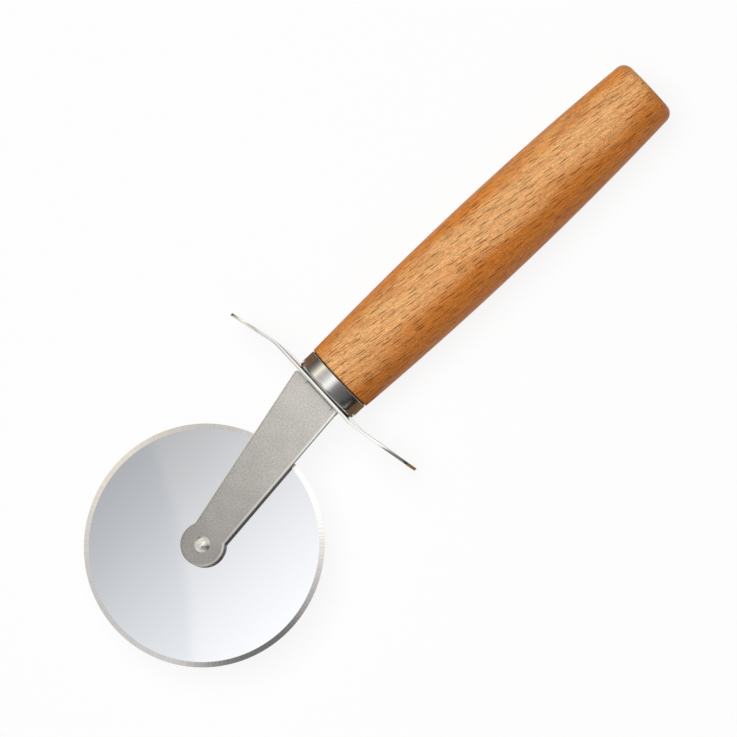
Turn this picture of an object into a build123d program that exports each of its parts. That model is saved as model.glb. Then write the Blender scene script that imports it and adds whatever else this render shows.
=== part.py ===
from build123d import *
import os

# A pizza cutter: a round knife on a one-sided steel arm, a thumb guard and a turned wooden handle.
# The tool lies flat. X runs along the handle from the wheel to the butt, and Z is up, along the
# axle. The wheel is offset towards -Y. The origin is the middle of the foot of the bounding box.
# Lengths are millimetres.

# Cutting wheel
wheel_diameter = 65.0
wheel_thickness = 0.8
bevel_width = 1.4
edge_land = 0.16

# Axle rivet and washer
journal_diameter = 5.0
journal_clearance = 0.05
side_play = 0.08
tenon_diameter = 3.0
tenon_clearance = 0.05
peened_head_diameter = 4.3
peened_head_height = 0.8
back_head_diameter = 9.0
back_head_thickness = 1.1
back_head_round = 0.4
washer_diameter = 8.6
washer_thickness = 0.3

# Wheel arm
sheet_thickness = 2.0
arm_height = 6.5
arm_reach = 50.1
wheel_offset = 8.5
eye_radius = 5.9
blade_root_width = 9.3
blade_root_shift = 0.16
blade_top_width = 16.0
blade_top_shift = 0.62
ear_gap = 0.3
ear_corner_radius = 0.9
neck_blend_radius = 2.2
neck_corner_radius = 0.4
tab_width = 9.7
tab_offset = 0.8
notch_width = 0.15
notch_depth = 1.2
bend_outer_radius = 0.9
bend_inner_radius = 0.4
flange_drop = 13.5
flange_corner_radius = 1.5
arm_edge_round = 0.22
rolled_edge_width = 0.55
rolled_edge_depth = 0.08

# Thumb guard
guard_thickness = 0.8
guard_span_out = 31.4
guard_span_in = 30.75
guard_depth = 23.0
guard_bend_out = 17.1
guard_bend_in = 13.1
guard_wing_rise = 3.65
guard_bend_radius = 9.0
guard_flat_length = 42.5
guard_corner_radius = 19.0
guard_tip_radius = 2.4

# Ferrule
ferrule_diameter = 20.1
ferrule_length = 5.1
ferrule_wall = 0.5
ferrule_front_round = 1.1
ferrule_lip_round = 0.15

# Handle
handle_diameter = 23.0
shoulder_diameter = 20.4
butt_diameter = 19.0
handle_length = 112.8
belly_share = 0.46
butt_round = 2.8
shoulder_gap = 0.25
shoulder_round = 0.25
spigot_clearance = 0.05
spigot_end_gap = 0.1

# Tang pin
pin_head_diameter = 6.5
pin_head_thickness = 1.2
pin_head_round = 0.4
neck_width = 4.2
neck_clearance = 0.05
ring_crest_diameter = 4.1
ring_root_diameter = 3.3
ring_pitch = 1.6
ring_slope_share = 0.8
ring_count = 18
pin_point_length = 3.0
pin_point_diameter = 0.8
bore_clearance = 0.04

# Worked-out places: X and Y are measured from the axle and the handle axis, then moved to the origin
wheel_radius = wheel_diameter / 2
handle_radius = handle_diameter / 2
guard_face = arm_reach + ear_gap
ferrule_face = guard_face + guard_thickness
shoulder_face = ferrule_face + ferrule_length + shoulder_gap
butt_face = shoulder_face + handle_length

axle_x = -(butt_face - wheel_radius) / 2
low_side = -wheel_offset - wheel_radius
high_side = max(guard_span_out, wheel_radius - wheel_offset)
axis_y = -(low_side + high_side) / 2
axle_y = axis_y - wheel_offset
axis_z = max(handle_radius, guard_depth / 2)

arm_top = axis_z + arm_height
arm_bottom = arm_top - sheet_thickness
wheel_top = arm_bottom - washer_thickness - side_play
wheel_bottom = wheel_top - wheel_thickness
wheel_middle = (wheel_top + wheel_bottom) / 2
journal_length = washer_thickness + side_play + wheel_thickness + side_play
back_head_top = arm_bottom - journal_length
flange_top_x = axle_x + guard_face
flange_bottom_x = flange_top_x - sheet_thickness
flange_foot = arm_top - flange_drop
guard_top_x = axle_x + ferrule_face
ferrule_x = guard_top_x
ferrule_mouth_x = ferrule_x + ferrule_length
shoulder_x = axle_x + shoulder_face
butt_x = axle_x + butt_face

handle_axis = Axis((0, axis_y, axis_z), (1, 0, 0))


def along_handle(x: float) -> Plane:
    """Return the plane square to the handle axis at x, seen from the butt."""
    return Plane(origin=(x, axis_y, axis_z), x_dir=(0, 1, 0), z_dir=(1, 0, 0))


def lengthways() -> Plane:
    """Return the plane through the handle axis, with local X along it and local Y outwards."""
    return Plane(origin=(0, axis_y, axis_z), x_dir=(1, 0, 0), z_dir=(0, 0, 1))


# The wheel is turned about the axle, thick in the middle and ground from both faces to a thin land
wheel_plane = Plane(origin=(axle_x, axle_y, wheel_middle), x_dir=(1, 0, 0), z_dir=(0, -1, 0))
with BuildPart() as cutting_wheel:
    with BuildSketch(wheel_plane):
        with BuildLine():
            Polyline(
                (journal_diameter / 2 + journal_clearance, wheel_thickness / 2),
                (wheel_radius - bevel_width, wheel_thickness / 2),
                (wheel_radius, edge_land / 2),
                (wheel_radius, -edge_land / 2),
                (wheel_radius - bevel_width, -wheel_thickness / 2),
                (journal_diameter / 2 + journal_clearance, -wheel_thickness / 2),
                close=True,
            )
        make_face()
    revolve(axis=Axis((axle_x, axle_y, 0), (0, 0, 1)))

# The rivet has a low domed head behind the wheel, a journal for it, and a tenon peened over the arm
with BuildPart() as axle_rivet:
    with BuildSketch(Plane(origin=(axle_x, axle_y, back_head_top))):
        Circle(back_head_diameter / 2)
    extrude(amount=-back_head_thickness)
    fillet(axle_rivet.edges().group_by(Axis.Z)[0], radius=back_head_round)
    with BuildSketch(Plane(origin=(axle_x, axle_y, back_head_top))):
        Circle(journal_diameter / 2)
    extrude(amount=journal_length)
    with BuildSketch(Plane(origin=(axle_x, axle_y, arm_bottom))):
        Circle(tenon_diameter / 2)
    extrude(amount=sheet_thickness)
    with BuildSketch(Plane(origin=(axle_x, axle_y, arm_top), x_dir=(1, 0, 0), z_dir=(0, -1, 0))):
        with BuildLine():
            crown = (0, peened_head_height)
            rim = (peened_head_diameter / 2, 0)
            Line((0, 0), crown)
            dome_height = peened_head_height
            dome_radius = (rim[0] ** 2 + dome_height ** 2) / (2 * dome_height)
            RadiusArc(crown, rim, dome_radius)
            Line(rim, (0, 0))
        make_face()
    revolve(axis=Axis((axle_x, axle_y, 0), (0, 0, 1)))

# The washer sits on the journal against the arm and keeps the wheel off it
with BuildPart() as spacer_washer:
    with BuildSketch(Plane(origin=(axle_x, axle_y, arm_bottom))):
        Circle(washer_diameter / 2)
        Circle(journal_diameter / 2 + journal_clearance, mode=Mode.SUBTRACT)
    extrude(amount=-washer_thickness)

# The arm's blade leans across from the eye to the handle axis, and widens towards its ears
ear_x = axle_x + arm_reach
root_middle_y = axle_y + blade_root_shift
root_half = blade_root_width / 2
top_middle_y = axis_y + blade_top_shift
top_half = blade_top_width / 2
tab_middle_y = axis_y - tab_offset
neck_point = (axle_x, axle_y + eye_radius)
neck_corner = (axle_x, axle_y - eye_radius)
bend_start_x = flange_bottom_x - 2 * bend_inner_radius
with BuildPart() as wheel_arm:
    with BuildSketch(Plane.XY.offset(arm_bottom)) as blade:
        with BuildLine():
            Polyline(
                (axle_x, root_middle_y + root_half),
                (ear_x, top_middle_y + top_half),
                (ear_x, top_middle_y - top_half),
                (axle_x, root_middle_y - root_half),
                close=True,
            )
        make_face()
        fillet(blade.vertices().group_by(Axis.X)[-1], radius=ear_corner_radius)
        with Locations((axle_x, axle_y)):
            Circle(eye_radius)
        fillet(blade.vertices().sort_by_distance(neck_point)[0], radius=neck_blend_radius)
        fillet(blade.vertices().sort_by_distance(neck_corner)[0], radius=neck_corner_radius)
    extrude(amount=sheet_thickness)
    faces = wheel_arm.faces().filter_by(Axis.Z).sort_by(Axis.Z)
    fillet(faces[0].edges(), radius=arm_edge_round)
    # The punch pulls the sheet down a little all round its upper side
    upper = wheel_arm.faces().filter_by(Axis.Z).sort_by(Axis.Z)[-1]
    chamfer(upper.edges(), length=rolled_edge_width, length2=rolled_edge_depth, reference=upper)
    with BuildSketch(Plane.XY.offset(arm_top)):
        with Locations((ear_x, tab_middle_y)):
            Rectangle(2 * notch_depth, tab_width + 2 * notch_width)
    extrude(amount=-sheet_thickness, mode=Mode.SUBTRACT)
    with BuildSketch(Plane(origin=(0, tab_middle_y, 0), x_dir=(1, 0, 0), z_dir=(0, -1, 0))) as bend:
        with BuildLine():
            Polyline(
                (bend_start_x, arm_top),
                (flange_top_x, arm_top),
                (flange_top_x, flange_foot),
                (flange_bottom_x, flange_foot),
                (flange_bottom_x, arm_bottom),
                (bend_start_x, arm_bottom),
                close=True,
            )
        make_face()
        corners = bend.vertices()
        fillet(corners.sort_by_distance((flange_top_x, arm_top))[0], radius=bend_outer_radius)
        corners = bend.vertices()
        fillet(corners.sort_by_distance((flange_bottom_x, arm_bottom))[0], radius=bend_inner_radius)
    extrude(amount=tab_width / 2, both=True)
    foot_edges = wheel_arm.edges().filter_by(Axis.X).group_by(Axis.Z)[0]
    fillet(foot_edges, radius=flange_corner_radius)
    with BuildSketch(along_handle(flange_top_x)):
        Rectangle(neck_width + 2 * neck_clearance, neck_width + 2 * neck_clearance)
    extrude(amount=-sheet_thickness, mode=Mode.SUBTRACT)
    with BuildSketch(Plane(origin=(axle_x, axle_y, arm_top))):
        Circle(tenon_diameter / 2 + tenon_clearance)
    extrude(amount=-sheet_thickness, mode=Mode.SUBTRACT)

# The guard is a flat plate bent twice. Its long sides are straight, so that the tool lies on them,
# and each of its corners is a wide arc that runs into a small one at the end
guard_middle_x = flange_top_x + guard_thickness / 2
guard_half = (guard_span_out + guard_span_in) / 2
guard_middle_y = axis_y + (guard_span_out - guard_span_in) / 2
half_depth = guard_depth / 2
half_flat = guard_flat_length / 2
centre_gap = guard_corner_radius - guard_tip_radius
corner_reach = guard_half - guard_tip_radius - half_flat
corner_rise = (centre_gap**2 - corner_reach**2) ** 0.5
corner_drop = guard_corner_radius - half_depth
corner_share = guard_corner_radius / centre_gap
arc_end = (half_flat + corner_share * corner_reach, corner_share * corner_rise - corner_drop)
tip_start = (guard_half, corner_rise - corner_drop)
with BuildPart() as thumb_guard:
    with BuildSketch(Plane.XY.offset(axis_z - half_depth)):
        with BuildLine():
            FilletPolyline(
                (guard_middle_x - guard_wing_rise, axis_y + guard_span_out),
                (guard_middle_x, axis_y + guard_bend_out),
                (guard_middle_x, axis_y - guard_bend_in),
                (guard_middle_x + guard_wing_rise, axis_y - guard_span_in),
                radius=guard_bend_radius,
            )
        trace(line_width=guard_thickness)
    extrude(amount=guard_depth)
    guard_plane = Plane(origin=(axle_x, guard_middle_y, axis_z), x_dir=(0, 1, 0), z_dir=(1, 0, 0))
    with BuildSketch(guard_plane):
        with BuildLine():
            Line((0, half_depth), (half_flat, half_depth))
            corner_arc = TangentArc((half_flat, half_depth), arc_end, tangent=(1, 0))
            TangentArc(arc_end, tip_start, tangent=corner_arc % 1)
            Line(tip_start, (guard_half, 0))
            mirror(about=Plane.XZ)
            mirror(about=Plane.YZ)
        make_face()
    extrude(amount=2 * guard_face, mode=Mode.INTERSECT)
    with BuildSketch(along_handle(flange_top_x)):
        Rectangle(neck_width + 2 * neck_clearance, neck_width + 2 * neck_clearance)
    extrude(amount=guard_thickness, mode=Mode.SUBTRACT)

# The ferrule is a drawn cup: a rounded front corner, a square hole in its floor and an eased lip
ferrule_radius = ferrule_diameter / 2
ferrule_inner_radius = ferrule_radius - ferrule_wall
ferrule_floor_x = ferrule_x + ferrule_wall
with BuildPart() as ferrule:
    with BuildSketch(lengthways()) as cup:
        with BuildLine():
            Polyline(
                (ferrule_x, 0),
                (ferrule_x, ferrule_radius),
                (ferrule_mouth_x, ferrule_radius),
                (ferrule_mouth_x, ferrule_inner_radius),
                (ferrule_floor_x, ferrule_inner_radius),
                (ferrule_floor_x, 0),
                close=True,
            )
        make_face()
        front_corner = (ferrule_x, ferrule_radius)
        fillet(cup.vertices().sort_by_distance(front_corner)[0], radius=ferrule_front_round)
        inner_corner = (ferrule_floor_x, ferrule_inner_radius)
        inner_round = ferrule_front_round - ferrule_wall
        fillet(cup.vertices().sort_by_distance(inner_corner)[0], radius=inner_round)
        fillet(cup.vertices().group_by(Axis.X)[-1], radius=ferrule_lip_round)
    revolve(axis=handle_axis)
    with BuildSketch(along_handle(ferrule_x)):
        Rectangle(neck_width + 2 * neck_clearance, neck_width + 2 * neck_clearance)
    extrude(amount=ferrule_wall, mode=Mode.SUBTRACT)

# The tang pin's rings are barbs: each rises steeply on the head's side and slopes off to the point
neck_end_x = ferrule_floor_x
spigot_x = ferrule_floor_x + spigot_end_gap
ring_root = ring_root_diameter / 2
ring_crest = ring_crest_diameter / 2
first_ring_x = spigot_x + ring_pitch
last_ring_x = first_ring_x + ring_count * ring_pitch
pin_tip_x = last_ring_x + pin_point_length


def shank_points(start_x: float, gap: float) -> list[tuple[float, float]]:
    """Return the shank's half outline from start_x to its tip, grown by gap."""
    points = [(start_x, 0), (start_x, ring_root + gap)]
    for ring in range(ring_count):
        ring_x = first_ring_x + ring * ring_pitch
        points.append((ring_x - gap, ring_root + gap))
        points.append((ring_x - gap, ring_crest + gap))
        points.append((ring_x + ring_slope_share * ring_pitch, ring_root + gap))
    points.append((last_ring_x, ring_root + gap))
    points.append((pin_tip_x + gap, pin_point_diameter / 2 + gap))
    points.append((pin_tip_x + gap, 0))
    return points


with BuildPart() as tang_pin:
    with BuildSketch(along_handle(flange_bottom_x)):
        Circle(pin_head_diameter / 2)
    extrude(amount=-pin_head_thickness)
    fillet(tang_pin.edges().group_by(Axis.X)[0], radius=pin_head_round)
    with BuildSketch(along_handle(flange_bottom_x)):
        Rectangle(neck_width, neck_width)
    extrude(amount=neck_end_x - flange_bottom_x)
    with BuildSketch(lengthways()):
        with BuildLine():
            Polyline(*shank_points(neck_end_x, 0), close=True)
        make_face()
    revolve(axis=handle_axis)

# The handle is turned: a spigot for the ferrule, a shoulder, two flat arcs that meet at the belly,
# and a rounded butt. Its bore closes round the pin's rings
spigot_radius = ferrule_inner_radius - spigot_clearance
belly_x = shoulder_x + belly_share * handle_length
with BuildPart() as handle:
    with BuildSketch(lengthways()) as turned:
        with BuildLine():
            Polyline(
                (belly_x, handle_radius),
                (belly_x, 0),
                (spigot_x, 0),
                (spigot_x, spigot_radius),
                (shoulder_x, spigot_radius),
                (shoulder_x, shoulder_diameter / 2),
            )
            TangentArc((belly_x, handle_radius), (shoulder_x, shoulder_diameter / 2), tangent=(-1, 0))
        make_face()
        with BuildLine():
            TangentArc((belly_x, handle_radius), (butt_x, butt_diameter / 2), tangent=(1, 0))
            Polyline(
                (butt_x, butt_diameter / 2),
                (butt_x, 0),
                (belly_x, 0),
                (belly_x, handle_radius),
            )
        make_face()
        spigot_corner = (spigot_x, spigot_radius)
        fillet(turned.vertices().sort_by_distance(spigot_corner)[0], radius=inner_round)
        shoulder_corner = (shoulder_x, shoulder_diameter / 2)
        fillet(turned.vertices().sort_by_distance(shoulder_corner)[0], radius=shoulder_round)
        butt_corner = (butt_x, butt_diameter / 2)
        fillet(turned.vertices().sort_by_distance(butt_corner)[0], radius=butt_round)
    revolve(axis=handle_axis)
    with BuildSketch(lengthways()):
        with BuildLine():
            Polyline(*shank_points(spigot_x, bore_clearance), close=True)
        make_face()
    revolve(axis=handle_axis, mode=Mode.SUBTRACT)

handle.part.label = "handle"
ferrule.part.label = "ferrule"
thumb_guard.part.label = "thumb_guard"
wheel_arm.part.label = "wheel_arm"
tang_pin.part.label = "tang_pin"
cutting_wheel.part.label = "cutting_wheel"
axle_rivet.part.label = "axle_rivet"
spacer_washer.part.label = "spacer_washer"

os.makedirs("parts", exist_ok=True)
export_step(handle.part, "parts/handle.step")
export_step(ferrule.part, "parts/ferrule.step")
export_step(thumb_guard.part, "parts/thumb_guard.step")
export_step(wheel_arm.part, "parts/wheel_arm.step")
export_step(tang_pin.part, "parts/tang_pin.step")
export_step(cutting_wheel.part, "parts/cutting_wheel.step")
export_step(axle_rivet.part, "parts/axle_rivet.step")
export_step(spacer_washer.part, "parts/spacer_washer.step")
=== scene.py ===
"""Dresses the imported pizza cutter: detailed pieces, finishes, a studio and a camera.

Lengths in the classes are millimetres in the CAD model's frame: X runs from the wheel to the butt of
the handle, and Z is up, along the axle. MM turns a length into Blender's metres.
"""
import logging
import math
from dataclasses import dataclass
from enum import Enum

import bmesh
import bpy
from bmesh.types import BMEdge, BMesh, BMVert
from bpy.types import Material, Node, NodeSocket, NodeTree, Object, World
from mathutils import Matrix, Vector


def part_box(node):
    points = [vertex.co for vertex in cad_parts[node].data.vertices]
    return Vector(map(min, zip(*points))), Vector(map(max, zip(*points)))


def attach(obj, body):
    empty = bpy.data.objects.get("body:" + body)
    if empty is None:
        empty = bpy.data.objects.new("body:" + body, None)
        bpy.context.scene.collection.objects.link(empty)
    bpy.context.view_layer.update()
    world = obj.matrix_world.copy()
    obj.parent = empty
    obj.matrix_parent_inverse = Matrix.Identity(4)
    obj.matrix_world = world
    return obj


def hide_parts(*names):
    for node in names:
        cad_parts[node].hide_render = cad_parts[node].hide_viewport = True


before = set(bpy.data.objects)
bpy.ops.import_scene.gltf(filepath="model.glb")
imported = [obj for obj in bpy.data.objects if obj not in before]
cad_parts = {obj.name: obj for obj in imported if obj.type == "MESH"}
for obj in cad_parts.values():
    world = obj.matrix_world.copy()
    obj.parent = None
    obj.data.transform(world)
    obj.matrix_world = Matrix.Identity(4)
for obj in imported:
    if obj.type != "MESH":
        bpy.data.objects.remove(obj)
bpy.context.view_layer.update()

MM = 0.001
IN_MM = (1 / MM, 1 / MM, 1 / MM)
MERGE_DISTANCE = 1e-4
ALONG = Vector((1, 0, 0))
ACROSS = Vector((0, 1, 0))
UP = Vector((0, 0, 1))
NEUTRAL = "#FFFFFF"
WARM = "#FFFBEE"
# Most values of a noise pattern lie between these two
NOISE_SPAN = (0.3, 0.7)
log = logging.getLogger("pizza_cutter")


class Body(Enum):
    """The CAD bodies that the pieces ride on."""

    TOOL = "tool"
    WHEEL = "wheel"


class Slot(Enum):
    """The record's material slots that the pieces use."""

    BEECH = "beech"
    POLISHED = "polished_steel"
    DRAWN = "drawn_steel"
    RIVET = "rivet_steel"


def linear(hex_colour: str, level: float = 1.0) -> tuple[float, float, float, float]:
    """Turn an sRGB hex colour into the linear colour that Blender's sockets take.

    Args:
        hex_colour: a colour such as "#C0C4C8".
        level: what its red, green and blue are multiplied by.

    Returns:
        Linear red, green and blue, with an alpha of 1.
    """
    channels = [int(hex_colour[i : i + 2], 16) / 255 for i in (1, 3, 5)]
    red, green, blue = (
        level * (c / 12.92 if c <= 0.04045 else ((c + 0.055) / 1.055) ** 2.4) for c in channels
    )
    return red, green, blue, 1.0


def add_node(
    tree: NodeTree,
    kind: str,
    inputs: dict | None = None,
    stops: list[tuple[float, tuple]] | None = None,
    **settings: object,
) -> Node:
    """Add one shader node, set it up and link it.

    Args:
        tree: the node tree that gets the node.
        kind: the node's type, without its ShaderNode prefix.
        inputs: socket name or number to a value, or to the output socket that feeds it, or to a
            node whose first output in use feeds it.
        stops: the positions and colours of a colour ramp.
        settings: the node's own properties.

    Returns:
        The new node.
    """
    node = tree.nodes.new("ShaderNode" + kind)
    for name, value in settings.items():
        setattr(node, name, value)
    if stops:
        elements = node.color_ramp.elements
        while len(elements) < len(stops):
            elements.new(1.0)
        for element, (position, colour) in zip(elements, stops):
            element.position = position
            element.color = colour
    for key, value in (inputs or {}).items():
        if isinstance(value, Node):
            value = next(output for output in value.outputs if output.enabled)
        if isinstance(value, NodeSocket):
            tree.links.new(value, node.inputs[key])
        else:
            node.inputs[key].default_value = value
    return node


def empty_tree(owner: Material | World) -> NodeTree:
    """Empty the node tree of a material or a world.

    Args:
        owner: the material or world.

    Returns:
        Its node tree, without nodes.
    """
    owner.use_nodes = True
    owner.node_tree.nodes.clear()
    return owner.node_tree


def shaded(
    tree: NodeTree,
    colour: Node | tuple,
    pattern: Node | NodeSocket,
    span: tuple[float, float],
    tones: tuple[float, float],
) -> Node:
    """Darken or lighten a colour by a pattern.

    Args:
        tree: the material's node tree.
        colour: the colour, or the node that gives it.
        pattern: what gives the pattern.
        span: the pattern's values that get the first and the second tone.
        tones: what the colour is multiplied by there.

    Returns:
        The node that gives the shaded colour.
    """
    limits = {"From Min": span[0], "From Max": span[1], "To Min": tones[0], "To Max": tones[1]}
    tone = add_node(tree, "MapRange", {"Value": pattern, **limits})
    return add_node(tree, "Mix", {0: 1.0, 6: colour, 7: tone}, data_type="RGBA", blend_type="MULTIPLY")


def box_mm(node: str) -> tuple[Vector, Vector]:
    """Return a CAD node's lowest and highest corners at rest, in millimetres."""
    low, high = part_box(node)
    return low / MM, high / MM


def middle_mm(node: str) -> Vector:
    """Return the middle of a CAD node's box at rest, in millimetres."""
    low, high = box_mm(node)
    return (low + high) / 2


# Finishes


@dataclass(frozen=True)
class Finish:
    """What every finish has: a real material's name, and a surface made from its fields."""

    name: str

    def surface(self, tree: NodeTree, place: NodeSocket) -> dict:
        """Add the surface's own nodes.

        Args:
            tree: the material's node tree.
            place: the object coordinates.

        Returns:
            The shader's inputs, each with its value or what feeds it.
        """
        raise NotImplementedError

    def material(self) -> Material:
        """Make the material, with the surface's nodes and its shader.

        Returns:
            The finished material.
        """
        material = bpy.data.materials.new(self.name)
        tree = empty_tree(material)
        place = add_node(tree, "TexCoord").outputs["Object"]
        shader = add_node(tree, "BsdfPrincipled", self.surface(tree, place))
        add_node(tree, "OutputMaterial", {"Surface": shader})
        return material


@dataclass(frozen=True)
class PolishedWheelSteel(Finish):
    """Stainless blade steel: mirror-polished faces and an edge ground by a wheel across it.

    The faces show the studio almost as a mirror does. The ground ring is finely streaked along the
    radius, which spreads its reflection round the wheel.
    """

    name: str = "stainless_polished_and_edge_ground"
    colour: str = "#D9DADD"
    ground_colour: str = "#E2DEDC"
    axle_x: float = 0.0
    axle_y: float = 0.0
    ground_from: float = 31.1
    face_roughness: float = 0.04
    ground_roughness: float = 0.17
    streak_spacing: float = 0.35
    streak_depth: float = 0.03
    streak_relief: float = 0.5
    streak_tones: tuple[float, float] = (0.86, 1.0)

    def surface(self, tree: NodeTree, place: NodeSocket) -> dict:
        """Polish the faces inside the ground ring, and streak the ring.

        Args:
            tree: the material's node tree.
            place: the object coordinates.

        Returns:
            The shader's inputs.
        """
        to_axle = (-self.axle_x * MM, -self.axle_y * MM, 0)
        centred = add_node(tree, "Mapping", {"Vector": place, "Location": to_axle})
        flat = add_node(tree, "VectorMath", {0: centred, 1: (1, 1, 0)}, operation="MULTIPLY")
        radius = add_node(tree, "VectorMath", {0: flat}, operation="LENGTH")
        ground = add_node(tree, "Math", {0: radius, 1: self.ground_from * MM}, operation="GREATER_THAN")
        outward = add_node(tree, "VectorMath", {0: flat}, operation="NORMALIZE")
        # Grinding lines are 0.05 mm apart, and here 0.35 mm so that they show
        count = self.ground_from / self.streak_spacing
        streaks = add_node(
            tree, "TexNoise", {"Vector": outward, "Scale": count, "Detail": 2.0, "Roughness": 0.6}
        )
        ring = shaded(tree, linear(self.ground_colour), streaks, NOISE_SPAN, self.streak_tones)
        colour = add_node(tree, "Mix", {0: ground, 6: linear(self.colour), 7: ring}, data_type="RGBA")
        roughness = add_node(tree, "Mix", {0: ground, 2: self.face_roughness, 3: self.ground_roughness})
        relief = add_node(tree, "Math", {0: ground, 1: self.streak_relief}, operation="MULTIPLY")
        bump = add_node(
            tree, "Bump", {"Strength": relief, "Distance": self.streak_depth * MM, "Height": streaks}
        )
        return {"Base Color": colour, "Metallic": 1.0, "Roughness": roughness, "Normal": bump}


@dataclass(frozen=True)
class PatternedSteel(Finish):
    """Steel whose pattern changes its roughness and stands out a little."""

    colour: str
    roughness: float
    roughness_change: float
    relief: float

    def patterned(self, tree: NodeTree, colour: Node, pattern: Node, depth: float) -> dict:
        """Bring a pattern into the steel's roughness and bump.

        Args:
            tree: the material's node tree.
            colour: the node that gives the colour.
            pattern: the node that gives the pattern.
            depth: how deep the pattern is.

        Returns:
            The shader's inputs.
        """
        roughness = add_node(
            tree,
            "MapRange",
            {
                "Value": pattern,
                "From Min": NOISE_SPAN[0],
                "From Max": NOISE_SPAN[1],
                "To Min": self.roughness - self.roughness_change,
                "To Max": self.roughness + self.roughness_change,
            },
        )
        bump = add_node(
            tree, "Bump", {"Strength": self.relief, "Distance": depth * MM, "Height": pattern}
        )
        return {"Base Color": colour, "Metallic": 1.0, "Roughness": roughness, "Normal": bump}


@dataclass(frozen=True)
class GrainedSteel(PatternedSteel):
    """Steel with a fine random grain, as tumbling, peening or blasting leaves it.

    The grain breaks the reflections up, so that the steel looks soft and even, with small flecks of
    tone.
    """

    name: str = "stainless_peened"
    colour: str = "#E9E6E0"
    roughness: float = 0.27
    roughness_change: float = 0.04
    relief: float = 0.35
    grain_size: float = 0.5
    grain_depth: float = 0.05
    tone_share: float = 0.24
    cloud_scale_share: float = 0.08
    cloud_weight: float = 0.2
    fleck_span: tuple[float, float] = (0.35, 0.85)

    def tone(self, tree: NodeTree, place: NodeSocket, grain: Node) -> Node:
        """Fleck the steel's colour by its grain and by soft clouds.

        Args:
            tree: the material's node tree.
            place: the object coordinates.
            grain: the node that gives the grain.

        Returns:
            The node that gives the colour.
        """
        scale = self.cloud_scale_share / (self.grain_size * MM)
        clouds = add_node(tree, "TexNoise", {"Vector": place, "Scale": scale, "Detail": 2.0})
        flecks = add_node(
            tree, "Math", {0: clouds, 1: self.cloud_weight, 2: grain}, operation="MULTIPLY_ADD"
        )
        return shaded(tree, linear(self.colour), flecks, self.fleck_span, (1 - self.tone_share, 1.0))

    def surface(self, tree: NodeTree, place: NodeSocket) -> dict:
        """Give the steel its grain, in tone, roughness and bump.

        Args:
            tree: the material's node tree.
            place: the object coordinates.

        Returns:
            The shader's inputs.
        """
        scale = 1 / (self.grain_size * MM)
        grain = add_node(
            tree, "TexNoise", {"Vector": place, "Scale": scale, "Detail": 3.0, "Roughness": 0.65}
        )
        return self.patterned(tree, self.tone(tree, place, grain), grain, self.grain_depth)


@dataclass(frozen=True)
class TumbledArmSteel(GrainedSteel):
    """Stainless sheet, blanked and tumbled.

    The rolled faces are soft and grained, with painted shade that darkens them towards the eye.
    Along one side the rounded-off rim gets a painted highlight, and the sides cut in blanking get
    painted shade that stands in for the dark they reflect.
    """

    name: str = "stainless_blanked_and_tumbled"
    colour: str = "#DAD5CF"
    roughness: float = 0.34
    grain_size: float = 0.4
    grain_depth: float = 0.04
    tone_share: float = 0.5
    # Painted highlight: the lighter colour of the rounded rim on the side that faces -Y
    rim: str = "#E6E2DC"
    # Painted shade: the dark colour of the cut sides, standing in for the dark they reflect
    side_shade: str = "#3E3A35"
    # Painted shade: the colour falls to this share at the eye and is full near the arm's end
    eye_shade_share: float = 0.62
    eye_shade_x: float = 0.0
    unshaded_x: float = 0.0
    tab_x: float = 0.0
    # Painted rim highlight comes as a face turns to -Y, painted side shade as it turns from level
    rim_highlight_from: float = -0.03
    rim_highlight_to: float = -0.12
    side_shade_from: float = 0.8
    side_shade_to: float = 0.5

    def tone(self, tree: NodeTree, place: NodeSocket, grain: Node) -> Node:
        """Fleck the colour; paint shade on the sides and towards the eye, and a rim highlight.

        Args:
            tree: the material's node tree.
            place: the object coordinates.
            grain: the node that gives the grain.

        Returns:
            The node that gives the colour.
        """
        flecked = super().tone(tree, place, grain)
        along = add_node(tree, "SeparateXYZ", {0: place}).outputs["X"]
        normal = add_node(tree, "TexCoord").outputs["Normal"]
        facing = add_node(tree, "SeparateXYZ", {0: normal}).outputs
        # A rolled face looks up or down, or along the handle where the tab is bent
        level = add_node(tree, "Math", {0: facing["Z"]}, operation="ABSOLUTE")
        ahead = add_node(tree, "Math", {0: facing["X"]}, operation="ABSOLUTE")
        at_tab = add_node(tree, "Math", {0: along, 1: self.tab_x * MM}, operation="GREATER_THAN")
        tab = add_node(tree, "Math", {0: ahead, 1: at_tab}, operation="MULTIPLY")
        rolled = add_node(tree, "Math", {0: level, 1: tab}, operation="MAXIMUM")
        # Painted highlight on the rounded rim that faces -Y
        rim_highlight_share = add_node(
            tree, "MapRange", {"Value": facing["Y"], "From Min": self.rim_highlight_from, "From Max": self.rim_highlight_to}
        )
        rim_highlighted = add_node(tree, "Mix", {0: rim_highlight_share, 6: flecked, 7: linear(self.rim)}, data_type="RGBA")
        # Painted shade that darkens the arm towards the eye
        eye_shade_span = (self.eye_shade_x * MM, self.unshaded_x * MM)
        eye_shaded = shaded(tree, rim_highlighted, along, eye_shade_span, (self.eye_shade_share, 1.0))
        # Painted shade on the cut sides, which stands in for the dark they reflect
        side_shade_share = add_node(
            tree, "MapRange", {"Value": rolled, "From Min": self.side_shade_from, "From Max": self.side_shade_to}
        )
        return add_node(tree, "Mix", {0: side_shade_share, 6: eye_shaded, 7: linear(self.side_shade)}, data_type="RGBA")


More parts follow.
